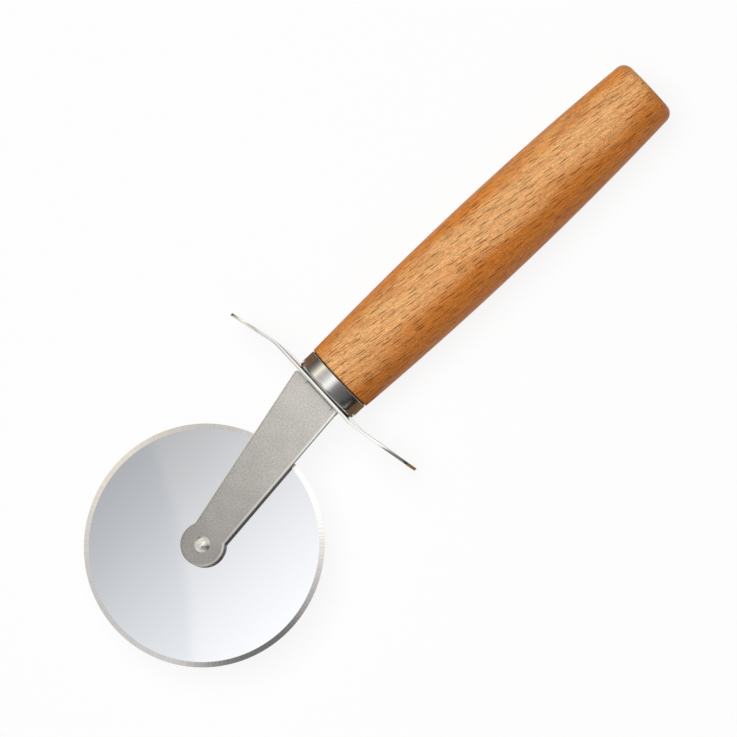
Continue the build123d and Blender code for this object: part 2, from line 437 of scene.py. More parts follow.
@dataclass(frozen=True)
class LinedSteel(PatternedSteel):
    """Steel drawn or buffed in one direction.

    Fine lines run along that direction, so the steel shines softly, with lights drawn out across
    them. stretch is a factor for each axis: a large number is the way the lines run.
    """

    name: str = "stainless_drawn_and_buffed"
    colour: str = "#CFCDCA"
    roughness: float = 0.2
    roughness_change: float = 0.05
    relief: float = 0.2
    line_spacing: float = 0.12
    line_depth: float = 0.01
    line_tones: tuple[float, float] = (0.9, 1.0)
    stretch: tuple[float, float, float] = (1.0, 40.0, 40.0)

    def surface(self, tree: NodeTree, place: NodeSocket) -> dict:
        """Line the steel, in tone, roughness and bump.

        Args:
            tree: the material's node tree.
            place: the object coordinates.

        Returns:
            The shader's inputs.
        """
        scale = tuple(1 / (self.line_spacing * MM * factor) for factor in self.stretch)
        stretched = add_node(tree, "Mapping", {"Vector": place, "Scale": scale})
        lines = add_node(tree, "TexNoise", {"Vector": stretched, "Scale": 1.0, "Detail": 3.0})
        colour = shaded(tree, linear(self.colour), lines, NOISE_SPAN, self.line_tones)
        return self.patterned(tree, colour, lines, self.line_depth)


@dataclass(frozen=True)
class Dashes:
    """Thin dark dashes in wood. spacing and size are along the grain, then across it."""

    spacing: tuple[float, float]
    size: tuple[float, float]
    strength: float


@dataclass(frozen=True)
class OiledBeech(Finish):
    """Beech, turned, sanded and oiled.

    The oil leaves it a deep golden brown with a low sheen. Short dark rays lie along the grain, over
    fine fibres and faint growth rings. A paler band along the top is a painted sheen, the -Y
    side is made a darker russet as painted shade, and a thin dark line of painted shadow marks
    the gap at the ferrule.
    """

    name: str = "beech_turned_and_oiled"
    # Painted shade: golden on the lit +Y side, a darker russet on the shaded -Y side
    golden: str = "#DE8526"
    russet: str = "#C9782D"
    # Painted sheen: the pale colour of the band along the top
    pale: str = "#E4AB6F"
    ring: str = "#C0682A"
    ray: str = "#481C06"
    axis_y: float = 0.0
    axis_z: float = 0.0
    radius: float = 11.5
    # Painted shadow: the dark band in the gap at the ferrule: its start, width and tone
    gap_shade_x: float = -12.0
    gap_shade_width: float = 0.45
    gap_shade_tone: float = 0.15
    grain_turn: float = 9.0
    log_tilt: tuple[float, float] = (0.15, 0.02)
    butt_facing: float = 0.8
    # Where the painted side shade runs from golden to russet, along Y
    lit_side_y: float = 5.0
    shaded_side_y: float = -7.0
    # Painted sheen: where its pale band lies along the top, its width and how it fades
    sheen_y: float = 1.6
    sheen_width: float = 7.8
    sheen_fade: tuple[float, float] = (2.35, 1.05)
    # Clouds that break up the painted sheen's edge
    sheen_cloud_length: float = 30.0
    sheen_cloud_width: float = 7.5
    cloud_weight: float = 1.8
    ring_spacing: float = 5.0
    ring_shares: tuple[float, float, float] = (0.1, 1.0, 2.2)
    ring_strength: float = 0.3
    fibre_width: float = 0.23
    fibre_length: float = 6.0
    fibre_depth: float = 0.05
    fibre_tones: tuple[float, float] = (0.68, 1.26)
    nap_length: float = 0.38
    nap_width: float = 0.2
    nap_tones: tuple[float, float] = (0.68, 1.36)
    rays: Dashes = Dashes(spacing=(4.8, 1.3), size=(3.4, 0.2), strength=1.0)
    pores: Dashes = Dashes(spacing=(2.4, 0.8), size=(1.3, 0.13), strength=0.6)

    def laid_round(self, tree: NodeTree, middled: Node, straight: Node) -> Node:
        """Lay the grain round the handle, so that no ray or fibre is cut short at its sides.

        On the flat butt the grain runs straight in, and so shows as dots.

        Args:
            tree: the material's node tree.
            middled: the node that gives the place, measured from the handle's axis.
            straight: the node that gives the place in the log's own directions.

        Returns:
            The node that gives the place in the laid grain, in millimetres.
        """
        part = add_node(tree, "SeparateXYZ", {0: middled}).outputs
        turn = add_node(tree, "Math", {0: part["Y"], 1: part["Z"]}, operation="ARCTAN2")
        girth = add_node(tree, "Math", {0: turn, 1: self.radius * MM}, operation="MULTIPLY")
        across = add_node(tree, "VectorMath", {0: middled, 1: (0, 1, 1)}, operation="MULTIPLY")
        depth = add_node(tree, "VectorMath", {0: across}, operation="LENGTH")
        unrolled = add_node(tree, "CombineXYZ", {0: part["X"], 1: girth, 2: depth})
        turned = (0, 0, math.radians(self.grain_turn))
        laid = add_node(tree, "Mapping", {"Vector": unrolled, "Rotation": turned, "Scale": IN_MM})
        normal = add_node(tree, "TexCoord").outputs["Normal"]
        facing = add_node(tree, "SeparateXYZ", {0: normal}).outputs["X"]
        at_butt = add_node(tree, "Math", {0: facing, 1: self.butt_facing}, operation="GREATER_THAN")
        return add_node(tree, "Mix", {0: at_butt, 4: laid, 5: straight}, data_type="VECTOR")

    def drawn_out(
        self,
        tree: NodeTree,
        grain: Node,
        size: tuple[float, float],
        detail: float,
        roughness: float = 0.5,
    ) -> Node:
        """Draw a noise pattern out along the grain.

        Args:
            tree: the material's node tree.
            grain: the node that gives the place in the grain's directions, in millimetres.
            size: the length and the width of the pattern's marks.
            detail: how many finer layers the pattern has.
            roughness: how strong the finer layers are.

        Returns:
            The node that gives the pattern.
        """
        length, width = size
        scale = (1 / length, 1 / width, 1 / width)
        place = add_node(tree, "Mapping", {"Vector": grain, "Scale": scale})
        return add_node(
            tree, "TexNoise", {"Vector": place, "Scale": 1.0, "Detail": detail, "Roughness": roughness}
        )

    def scattered(self, tree: NodeTree, grain: Node, dashes: Dashes) -> Node:
        """Scatter spindle-shaped dashes along the grain.

        Args:
            tree: the material's node tree.
            grain: the node that gives the place in the grain's directions, in millimetres.
            dashes: the dashes.

        Returns:
            The node that gives the dashes' share, from 0 between them to their strength.
        """
        along, across = dashes.spacing
        scale = (1 / along, 1 / across, 1 / across)
        place = add_node(tree, "Mapping", {"Vector": grain, "Scale": scale})
        cells = add_node(tree, "TexVoronoi", {"Vector": place, "Scale": 1.0, "Randomness": 1.0})
        off = add_node(
            tree, "VectorMath", {0: place, 1: cells.outputs["Position"]}, operation="SUBTRACT"
        )
        # Now 1 at a dash's end or side. In depth it reaches half a spacing, to be cut by the surface
        shape = (2 * along / dashes.size[0], 2 * across / dashes.size[1], 2.0)
        shaped = add_node(tree, "VectorMath", {0: off, 1: shape}, operation="MULTIPLY")
        reach = add_node(tree, "VectorMath", {0: shaped}, operation="LENGTH")
        fade = {"Value": reach, "From Min": 1.1, "From Max": 0.8, "To Max": dashes.strength}
        return add_node(tree, "MapRange", fade)

    def wood_with_painted_light(self, tree: NodeTree, place: NodeSocket, beside: NodeSocket, grain: Node) -> Node:
        """Colour the wood: painted side shade, a painted sheen with clouds, and growth rings.

        Args:
            tree: the material's node tree.
            place: the object coordinates.
            beside: how far the place is from the handle's axis, along Y.
            grain: the node that gives the place in the grain's directions, in millimetres.

        Returns:
            The node that gives the colour.
        """
        # Painted shade: the -Y side, away from the light, turns a darker russet
        shaded_side_share = add_node(
            tree,
            "MapRange",
            {"Value": beside, "From Min": self.lit_side_y * MM, "From Max": self.shaded_side_y * MM},
            interpolation_type="SMOOTHSTEP",
        )
        sides = {0: shaded_side_share, 6: linear(self.golden), 7: linear(self.russet)}
        side_shaded_wood = add_node(tree, "Mix", sides, data_type="RGBA")
        # Painted sheen: a soft pale band round a line along the top of the handle
        wide = self.sheen_width
        line = (0, -(self.axis_y + self.sheen_y) / wide, -(self.axis_z + self.radius) / wide)
        scale = (0, 1 / (wide * MM), 1 / (wide * MM))
        sheen_place = add_node(tree, "Mapping", {"Vector": place, "Location": line, "Scale": scale})
        sheen_distance = add_node(tree, "VectorMath", {0: sheen_place}, operation="LENGTH")
        # Clouds break up the painted sheen's edge
        clouds = self.drawn_out(tree, grain, (self.sheen_cloud_length, self.sheen_cloud_width), 3.0)
        near = add_node(
            tree, "Math", {0: clouds, 1: self.cloud_weight, 2: sheen_distance}, operation="MULTIPLY_ADD"
        )
        none, full = self.sheen_fade
        sheen_share = add_node(
            tree,
            "MapRange",
            {"Value": near, "From Min": none, "From Max": full},
            interpolation_type="SMOOTHSTEP",
        )
        base = add_node(tree, "Mix", {0: sheen_share, 6: side_shaded_wood, 7: linear(self.pale)}, data_type="RGBA")
        scale = tuple(share / self.ring_spacing for share in self.ring_shares)
        ring_place = add_node(tree, "Mapping", {"Vector": grain, "Scale": scale})
        rings = add_node(
            tree,
            "TexWave",
            {"Vector": ring_place, "Scale": 1.0, "Distortion": 2.5, "Detail": 2.0, "Detail Scale": 0.6},
            wave_type="BANDS",
            bands_direction="DIAGONAL",
            wave_profile="SAW",
        )
        ring_share = add_node(
            tree,
            "MapRange",
            {"Value": rings.outputs["Fac"], "From Min": 0.3, "To Max": self.ring_strength},
        )
        return add_node(tree, "Mix", {0: ring_share, 6: base, 7: linear(self.ring)}, data_type="RGBA")

    def surface(self, tree: NodeTree, place: NodeSocket) -> dict:
        """Bring fibres, nap, rays, pores and the gap's painted shadow over the wood's colour.

        Args:
            tree: the material's node tree.
            place: the object coordinates.

        Returns:
            The shader's inputs.
        """
        turned = (*self.log_tilt, math.radians(self.grain_turn))
        grain = add_node(tree, "Mapping", {"Vector": place, "Rotation": turned, "Scale": IN_MM})
        to_axis = (0, -self.axis_y * MM, -self.axis_z * MM)
        middled = add_node(tree, "Mapping", {"Vector": place, "Location": to_axis})
        part = add_node(tree, "SeparateXYZ", {0: middled}).outputs
        laid = self.laid_round(tree, middled, grain)
        wood = self.wood_with_painted_light(tree, place, part["Y"], grain)
        # Beech fibres are 0.02 mm wide, and here 0.23 mm so that they show
        fibres = self.drawn_out(tree, laid, (self.fibre_length, self.fibre_width), 4.0, 0.65)
        wood = shaded(tree, wood, fibres, NOISE_SPAN, self.fibre_tones)
        # Sanding leaves a nap as fine as the fibres, and here it is 0.2 mm so that it shows
        nap = self.drawn_out(tree, laid, (self.nap_length, self.nap_width), 2.0)
        wood = shaded(tree, wood, nap, NOISE_SPAN, self.nap_tones)
        for dashes in (self.rays, self.pores):
            share = self.scattered(tree, laid, dashes)
            wood = add_node(tree, "Mix", {0: share, 6: wood, 7: linear(self.ray)}, data_type="RGBA")
        # Painted shadow: a thin dark band where shade falls in the gap at the ferrule
        joint = (self.gap_shade_x * MM, (self.gap_shade_x + self.gap_shade_width) * MM)
        wood = shaded(tree, wood, part["X"], joint, (self.gap_shade_tone, 1.0))
        bump = add_node(
            tree, "Bump", {"Strength": 0.25, "Distance": self.fibre_depth * MM, "Height": fibres}
        )
        gloss = {"Roughness": 0.48, "IOR": 1.5, "Specular IOR Level": 0.16}
        return {"Base Color": wood, "Normal": bump, **gloss}


@dataclass(frozen=True)
class MouldedNylon(Finish):
    """Natural nylon, moulded: milky, a little warm, with a dull skin."""

    name: str = "nylon_moulded"
    colour: str = "#DEDBD1"
    skin_size: float = 0.2

    def surface(self, tree: NodeTree, place: NodeSocket) -> dict:
        """Give the nylon the fine texture of its mould.

        Args:
            tree: the material's node tree.
            place: the object coordinates.

        Returns:
            The shader's inputs.
        """
        scale = 1 / (self.skin_size * MM)
        skin = add_node(tree, "TexNoise", {"Vector": place, "Scale": scale, "Detail": 2.0})
        roughness = add_node(tree, "MapRange", {"Value": skin, "To Min": 0.42, "To Max": 0.54})
        return {"Base Color": linear(self.colour), "IOR": 1.53, "Roughness": roughness}


# Shaping tools


@dataclass
class Lathe:
    """Draws half a section from lines and arcs, then spins it about its axis.

    A point of the section is its place along the axis and its radius.
    """

    origin: Vector
    axis: Vector
    out: Vector
    steps: int

    def __post_init__(self) -> None:
        """Start an empty mesh."""
        self.bm = bmesh.new()
        self.last: BMVert | None = None
        self.place = (0.0, 0.0)

    def point(self, along: float, radius: float) -> Vector:
        """Return the place in space of a point of the section."""
        return self.origin + along * self.axis + radius * self.out

    def line(self, *places: tuple[float, float]) -> None:
        """Draw straight runs from the last point.

        Args:
            places: the points that the runs go to.
        """
        for place in places:
            vert = self.bm.verts.new(self.point(*place))
            if self.last is not None:
                self.bm.edges.new((self.last, vert))
            self.last, self.place = vert, place

    def arc(self, end: tuple[float, float], centre: tuple[float, float], pieces: int) -> None:
        """Draw an arc from the last point.

        Args:
            end: where the arc ends.
            centre: the arc's centre.
            pieces: how many straight pieces it has.
        """
        first = math.atan2(self.place[1] - centre[1], self.place[0] - centre[0])
        turn = math.atan2(end[1] - centre[1], end[0] - centre[0]) - first
        turn = (turn + math.pi) % math.tau - math.pi
        made = bmesh.ops.spin(
            self.bm,
            geom=[self.last],
            cent=self.point(*centre),
            axis=self.axis.cross(self.out),
            angle=turn,
            steps=pieces,
        )
        self.last = next(g for g in made["geom_last"] if isinstance(g, BMVert))
        self.place = end

    def spin(self, closed: bool = False) -> BMesh:
        """Spin the section through a full turn.

        Args:
            closed: joins the section's last point to its first one before the spin.

        Returns:
            The mesh of the turned shape.
        """
        if closed:
            self.bm.verts.ensure_lookup_table()
            self.bm.edges.new((self.last, self.bm.verts[0]))
        bmesh.ops.spin(
            self.bm,
            geom=self.bm.verts[:] + self.bm.edges[:],
            cent=self.origin,
            axis=self.axis,
            angle=math.tau,
            steps=self.steps,
            use_merge=True,
        )
        return self.bm


def finish_piece(
    bm: BMesh, node: str, body: Body, finish: Finish, sharp_angle: float
) -> Object:
    """Turn a mesh in millimetres into a piece that stands for a CAD node.

    Args:
        bm: the mesh, which is used up.
        node: the CAD node that the piece replaces, whose name it takes with _piece added.
        body: the body that it rides on.
        finish: the surface that it gets.
        sharp_angle: faces that meet at more than this many degrees keep a crisp edge.

    Returns:
        The finished piece.
    """
    bmesh.ops.remove_doubles(bm, verts=bm.verts, dist=MERGE_DISTANCE)
    bmesh.ops.recalc_face_normals(bm, faces=bm.faces)
    bmesh.ops.scale(bm, vec=(MM, MM, MM), verts=bm.verts)
    mesh = bpy.data.meshes.new(node + "_piece")
    bm.to_mesh(mesh)
    bm.free()
    mesh.shade_smooth()
    mesh.set_sharp_from_angle(angle=math.radians(sharp_angle))
    mesh.materials.append(finish.material())
    piece = bpy.data.objects.new(node + "_piece", mesh)
    bpy.context.scene.collection.objects.link(piece)
    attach(piece, body.value)
    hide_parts(node)
    return piece


def dress_node(node: str, finish: Finish) -> Object:
    """Give a CAD node that keeps its own shape a better surface.

    Args:
        node: the CAD node.
        finish: the surface that it gets.

    Returns:
        The CAD node's object.
    """
    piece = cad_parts[node]
    material = finish.material()
    for material_slot in piece.material_slots:
        material_slot.material = material
    return piece


# The tool's pieces


@dataclass
class WheelAssembly:
    """The cutting wheel, its rivet and the washer behind it."""

    face_edge_radius: float = 31.1
    edge_land: float = 0.16
    bore_clearance: float = 0.05
    arm_thickness: float = 2.0
    journal_radius: float = 2.5
    tenon_radius: float = 1.5
    peened_radius: float = 2.15
    peened_height: float = 0.8
    back_head_radius: float = 4.5
    back_head_thickness: float = 1.1
    back_head_round: float = 0.4
    blows: int = 6
    blow_tilt: float = 17.0
    blow_tilt_shares: tuple[float, float, float] = (0.75, 1.0, 1.25)
    blow_depth: float = 0.05
    blow_depth_shares: tuple[float, float, float] = (0.6, 1.0, 0.8)
    blow_shift: float = 0.4
    wheel_steps: int = 256
    rivet_steps: int = 64
    round_pieces: int = 6
    dome_pieces: int = 10

    def cutting_wheel(self) -> Object:
        """Spin the wheel: flat faces, ground slopes on both sides and a thin land at the edge.

        Returns:
            The wheel.
        """
        low, high = box_mm("cutting_wheel")
        axle = middle_mm("cutting_wheel")
        radius, half = (high.x - low.x) / 2, (high.z - low.z) / 2
        land, slope_from = self.edge_land / 2, self.face_edge_radius
        bore = self.journal_radius + self.bore_clearance
        lathe = Lathe(axle, UP, ALONG, self.wheel_steps)
        lathe.line((half, bore), (half, slope_from), (land, radius))
        lathe.line((-land, radius), (-half, slope_from), (-half, bore))
        finish = PolishedWheelSteel(axle_x=axle.x, axle_y=axle.y, ground_from=slope_from)
        bm = lathe.spin(closed=True)
        return finish_piece(bm, "cutting_wheel", Body.WHEEL, finish, sharp_angle=5)

    def axle_rivet(self) -> Object:
        """Spin the rivet, then flatten its dome with a few hammer blows.

        Returns:
            The rivet.
        """
        low, high = box_mm("axle_rivet")
        centre = middle_mm("axle_rivet")
        centre.z = 0
        arm_top = box_mm("wheel_arm")[1].z
        arm_bottom = arm_top - self.arm_thickness
        back, back_round = self.back_head_radius, self.back_head_round
        head_top = low.z + self.back_head_thickness
        dome_radius = (self.peened_radius**2 + self.peened_height**2) / (2 * self.peened_height)
        lathe = Lathe(centre, UP, ALONG, self.rivet_steps)
        lathe.line((low.z, 0), (low.z, back - back_round))
        lathe.arc(
            (low.z + back_round, back), (low.z + back_round, back - back_round), self.round_pieces
        )
        lathe.line((head_top, back), (head_top, self.journal_radius))
        lathe.line((arm_bottom, self.journal_radius), (arm_bottom, self.tenon_radius))
        lathe.line((arm_top, self.tenon_radius), (arm_top, self.peened_radius))
        lathe.arc((high.z, 0), (high.z - dome_radius, 0), self.dome_pieces)
        bm = lathe.spin()
        ball_centre = centre + Vector((0, 0, high.z - dome_radius))
        for blow in range(self.blows):
            kind = blow % len(self.blow_tilt_shares)
            tilt = math.radians(self.blow_tilt * self.blow_tilt_shares[kind])
            turn = math.tau * blow / self.blows + self.blow_shift * (blow % 2)
            out = math.sin(tilt)
            normal = Vector((out * math.cos(turn), out * math.sin(turn), math.cos(tilt)))
            depth = self.blow_depth * self.blow_depth_shares[kind]
            cut = bmesh.ops.bisect_plane(
                bm,
                geom=bm.verts[:] + bm.edges[:] + bm.faces[:],
                plane_co=ball_centre + (dome_radius - depth) * normal,
                plane_no=normal,
                clear_outer=True,
            )
            rim = [g for g in cut["geom_cut"] if isinstance(g, BMEdge)]
            bmesh.ops.contextual_create(bm, geom=rim)
        return finish_piece(bm, "axle_rivet", Body.TOOL, GrainedSteel(), sharp_angle=8)

    def build(self) -> list[Object]:
        """Build and dress the wheel, the rivet and the washer, and return them."""
        return [self.cutting_wheel(), self.axle_rivet(), dress_node("spacer_washer", MouldedNylon())]


@dataclass
class ArmAssembly:
    """The one-sided arm with its thumb guard."""

    thickness: float = 0.8
    flat_length: float = 42.5
    corner_radius: float = 19.0
    tip_radius: float = 2.4
    bend_out: float = 17.1
    bend_in: float = 13.1
    wing_rise: float = 3.65
    bend_radius: float = 9.0
    hole_width: float = 4.3
    rim_angle: float = 60.0
    rim_round: float = 0.1
    rim_pieces: int = 3
    side_steps: int = 12
    tip_steps: int = 10
    bend_slice: float = 0.6
    tab_depth: float = 2.1
    # The painted shade on the arm fades out this far before the arm's end
    unshaded_gap: float = 3.0

    def wing(self, reach: float, bend: float) -> tuple[float, float, float]:
        """Work out one wing's bend.

        Args:
            reach: how far the wing goes from the handle's axis.
            bend: where the two straight parts would meet.

        Returns:
            Where the arc starts and ends, and the wing's slope.
        """
        angle = math.atan2(self.wing_rise, reach - bend)
        trim = self.bend_radius * math.tan(angle / 2)
        return bend - trim, bend + trim * math.cos(angle), math.tan(angle)

    def rise(self, distance: float, reach: float, bend: float) -> tuple[float, float]:
        """Follow the bent strip.

        Args:
            distance: how far the point is from the handle's axis, along Y.
            reach: how far this wing goes.
            bend: where the two straight parts of this wing would meet.

        Returns:
            How far the strip's middle has moved there, and its slope.
        """
        start, end, slope = self.wing(reach, bend)
        if distance <= start:
            return 0.0, 0.0
        if distance < end:
            across = distance - start
            down = math.sqrt(self.bend_radius**2 - across**2)
            return self.bend_radius - down, across / down
        return (distance - bend) * slope, slope

    def blank(self, middle: Vector, half: float, half_depth: float, axis_y: float) -> BMesh:
        """Cut the guard's flat blank, with the pin's square hole.

        Args:
            middle: the middle of the blank.
            half: half its length.
            half_depth: half its height.
            axis_y: where the hole is.

        Returns:
            The mesh of the blank, without thickness.
        """
        half_flat = self.flat_length / 2
        gap = self.corner_radius - self.tip_radius
        reach = half - self.tip_radius - half_flat
        rise = math.sqrt(gap**2 - reach**2)
        drop = self.corner_radius - half_depth
        share = self.corner_radius / gap
        joint = (half_flat + share * reach, share * rise - drop)
        # A quarter of the outline: the section's two directions are here the strip's Y and Z
        quarter = Lathe(middle, ACROSS, UP, steps=1)
        quarter.line((0.0, half_depth), (half_flat, half_depth))
        quarter.arc(joint, (half_flat, -drop), self.side_steps)
        quarter.arc((half, rise - drop), (half - self.tip_radius, rise - drop), self.tip_steps)
        quarter.line((half, 0.0))
        bm = quarter.bm
        for axis in ("Y", "Z"):
            bmesh.ops.mirror(
                bm,
                geom=bm.verts[:] + bm.edges[:],
                matrix=Matrix.Translation(-middle),
                merge_dist=MERGE_DISTANCE,
                axis=axis,
            )
        bmesh.ops.remove_doubles(bm, verts=bm.verts, dist=MERGE_DISTANCE)
        upright = Matrix.Rotation(math.pi / 2, 4, "Y")
        hole = bmesh.ops.create_grid(
            bm,
            x_segments=1,
            y_segments=1,
            size=self.hole_width / 2,
            matrix=Matrix.Translation((middle.x, axis_y, middle.z)) @ upright,
        )
        inside = list({face for vert in hole["verts"] for face in vert.link_faces})
        bmesh.ops.delete(bm, geom=inside, context="FACES_ONLY")
        bmesh.ops.triangle_fill(bm, use_beauty=True, edges=bm.edges[:])
        return bm

    def thicken(self, bm: BMesh) -> None:
        """Give a flat blank its thickness, and ease its rim.

        Args:
            bm: the blank, which is changed.
        """
        grown = bmesh.ops.extrude_face_region(bm, geom=bm.faces[:])
        moved = [g for g in grown["geom"] if isinstance(g, BMVert)]
        bmesh.ops.translate(bm, vec=self.thickness / 2 * ALONG, verts=moved)
        still = [v for v in bm.verts if v not in set(moved)]
        bmesh.ops.translate(bm, vec=-self.thickness / 2 * ALONG, verts=still)
        bmesh.ops.recalc_face_normals(bm, faces=bm.faces)
        steep = [
            edge
            for edge in bm.edges
            if len(edge.link_faces) == 2 and edge.calc_face_angle() > math.radians(self.rim_angle)
        ]
        bmesh.ops.bevel(
            bm,
            geom=[e for e in steep if abs(e.verts[0].co.x - e.verts[1].co.x) < MERGE_DISTANCE],
            offset=self.rim_round,
            offset_type="OFFSET",
            segments=self.rim_pieces,
            profile=0.5,
            affect="EDGES",
            material=-1,
        )

    def thumb_guard(self) -> Object:
        """Cut the guard from sheet, ease its rim, and bend its wings opposite ways.

        Returns:
            The guard.
        """
        low, high = box_mm("thumb_guard")
        half, half_depth = (high.y - low.y) / 2, (high.z - low.z) / 2
        axis_y = middle_mm("handle").y
        middle = middle_mm("thumb_guard")
        middle.x = box_mm("ferrule")[0].x - self.thickness / 2
        bm = self.blank(middle, half, half_depth, axis_y)
        wings = {1: (high.y - axis_y, self.bend_out), -1: (axis_y - low.y, self.bend_in)}
        for side, wing in wings.items():
            start, end, _ = self.wing(*wing)
            slices = math.ceil((end - start) / self.bend_slice)
            for i in range(slices + 1):
                place = axis_y + side * (start + (end - start) * i / slices)
                bmesh.ops.bisect_plane(
                    bm,
                    geom=bm.verts[:] + bm.edges[:] + bm.faces[:],
                    plane_co=(middle.x, place, middle.z),
                    plane_no=ACROSS,
                )
        self.thicken(bm)
        for vert in bm.verts:
            side = 1 if vert.co.y > axis_y else -1
            moved, slope = self.rise(side * (vert.co.y - axis_y), *wings[side])
            off = (vert.co.x - middle.x) * math.sqrt(1 + slope**2)
            vert.co.x = middle.x - side * moved + off
        finish = LinedSteel(
            name="stainless_sheet_buffed", colour="#DCDAD6", roughness=0.09, stretch=(40, 40, 1)
        )
        return finish_piece(bm, "thumb_guard", Body.TOOL, finish, sharp_angle=20)

    def build(self) -> list[Object]:
        """Build the guard, and dress the arm and the pin that holds it.

        Returns:
            The three pieces.
        """
        end_x = box_mm("wheel_arm")[1].x
        arm = TumbledArmSteel(
            eye_shade_x=middle_mm("axle_rivet").x,
            unshaded_x=end_x - self.unshaded_gap,
            tab_x=end_x - self.tab_depth,
        )
        pin = LinedSteel(name="steel_pin_drawn", colour="#BDBBB7", roughness=0.3)
        return [self.thumb_guard(), dress_node("wheel_arm", arm), dress_node("tang_pin", pin)]


@dataclass
class HandleAssembly:
    """The turned handle and its drawn ferrule."""

    ferrule_wall: float = 0.5
    front_round: float = 1.1
    lip_round: float = 0.2
    hold: float = 0.05
    hole_radius: float = 3.05
    shoulder_radius: float = 10.2
    butt_radius: float = 9.5
    belly_share: float = 0.46
    butt_round: float = 2.8
    shoulder_round: float = 0.25
    spigot_clearance: float = 0.05
    shoulder_gap: float = 0.25
    bore_radius: float = 2.1
    bore_tip: float = 0.3
    bore_cone: float = 3.0
    steps: int = 128
    side_pieces: int = 40
    corner_pieces: int = 10
    inner_pieces: int = 6
    small_pieces: int = 4

    def lathe(self) -> Lathe:
        """Return a lathe on the handle's axis."""
        middle = middle_mm("handle")
        return Lathe(Vector((0, middle.y, middle.z)), ALONG, UP, self.steps)

    def ferrule(self) -> Object:
        """Spin the cup: a rounded front corner and an eased lip, at one wall thickness.

        Returns:
            The ferrule.
        """
        low, high = box_mm("ferrule")
        radius = (high.z - low.z) / 2
        inner = radius - self.ferrule_wall
        front, lip = self.front_round, self.lip_round
        inner_round = front - self.ferrule_wall
        floor = low.x + self.ferrule_wall
        lip_x, small = high.x - lip, self.small_pieces
        cup = self.lathe()
        cup.line((low.x, self.hole_radius), (low.x, radius - front))
        cup.arc((low.x + front, radius), (low.x + front, radius - front), self.corner_pieces)
        # A point close to each round keeps the straight wall's shading straight
        cup.line((low.x + front + self.hold, radius), (lip_x - self.hold, radius), (lip_x, radius))
        cup.arc((high.x, radius - lip), (lip_x, radius - lip), small)
        cup.line((high.x, inner + lip))
        cup.arc((lip_x, inner), (lip_x, inner + lip), small)
        cup.line((floor + inner_round, inner))
        inner_centre = (floor + inner_round, inner - inner_round)
        cup.arc((floor, inner - inner_round), inner_centre, self.inner_pieces)
        cup.line((floor, self.hole_radius))
        finish = LinedSteel(roughness=0.16, line_depth=0.0)
        bm = cup.spin(closed=True)
        return finish_piece(bm, "ferrule", Body.TOOL, finish, sharp_angle=12)

    def side(self, run: float, radius: float, belly: float) -> float:
        """Work out the radius of the flat arc from the belly to an end.

        Args:
            run: how far the end is from the belly.
            radius: the handle's radius at that end.
            belly: its radius at the belly.

        Returns:
            The arc's own radius.
        """
        drop = belly - radius
        return (run**2 + drop**2) / (2 * drop)

    def handle(self) -> Object:
        """Spin the handle: spigot, shoulder, two flat arcs that meet at the belly, rounded butt.

        Returns:
            The handle.
        """
        low, high = box_mm("handle")
        ferrule_low, ferrule_high = box_mm("ferrule")
        pin_end = box_mm("tang_pin")[1].x
        belly = (high.z - low.z) / 2
        spigot = (ferrule_high.z - ferrule_low.z) / 2 - self.ferrule_wall - self.spigot_clearance
        spigot_round = self.front_round - self.ferrule_wall
        spigot_x = low.x + spigot_round
        shoulder_x = ferrule_high.x + self.shoulder_gap
        belly_x = shoulder_x + self.belly_share * (high.x - shoulder_x)
        ease, small = self.shoulder_round, self.small_pieces
        turned = self.lathe()
        turned.line((pin_end + self.bore_tip, 0), (pin_end - self.bore_cone, self.bore_radius))
        turned.line((low.x, self.bore_radius), (low.x, spigot - spigot_round))
        turned.arc((spigot_x, spigot), (spigot_x, spigot - spigot_round), small)
        turned.line((shoulder_x, spigot), (shoulder_x, self.shoulder_radius - ease))
        front_run = belly_x - shoulder_x
        front_arc = self.side(front_run, self.shoulder_radius, belly)
        eased = belly - front_arc + math.sqrt(front_arc**2 - (front_run - ease) ** 2)
        turned.arc((shoulder_x + ease, eased), (shoulder_x + ease, eased - ease), small)
        turned.arc((belly_x, belly), (belly_x, belly - front_arc), self.side_pieces)
        back_run = high.x - belly_x
        back_arc = self.side(back_run, self.butt_radius, belly)
        # The butt's round touches the side's arc inside, so its centre lies on a smaller arc
        round_x = back_run - self.butt_round
        centre_fall = back_arc - math.sqrt((back_arc - self.butt_round) ** 2 - round_x**2)
        round_centre = Vector((belly_x + round_x, belly - centre_fall))
        side_centre = Vector((belly_x, belly - back_arc))
        touch = side_centre + (round_centre - side_centre).normalized() * back_arc
        turned.arc(tuple(touch), tuple(side_centre), self.side_pieces)
        turned.arc((high.x, round_centre.y), tuple(round_centre), self.corner_pieces)
        turned.line((high.x, 0))
        axis = turned.origin
        finish = OiledBeech(axis_y=axis.y, axis_z=axis.z, radius=belly, gap_shade_x=shoulder_x)
        return finish_piece(turned.spin(), "handle", Body.TOOL, finish, sharp_angle=40)

    def build(self) -> list[Object]:
        """Build and dress the ferrule and the handle, and return them."""
        return [self.ferrule(), self.handle()]


# The studio


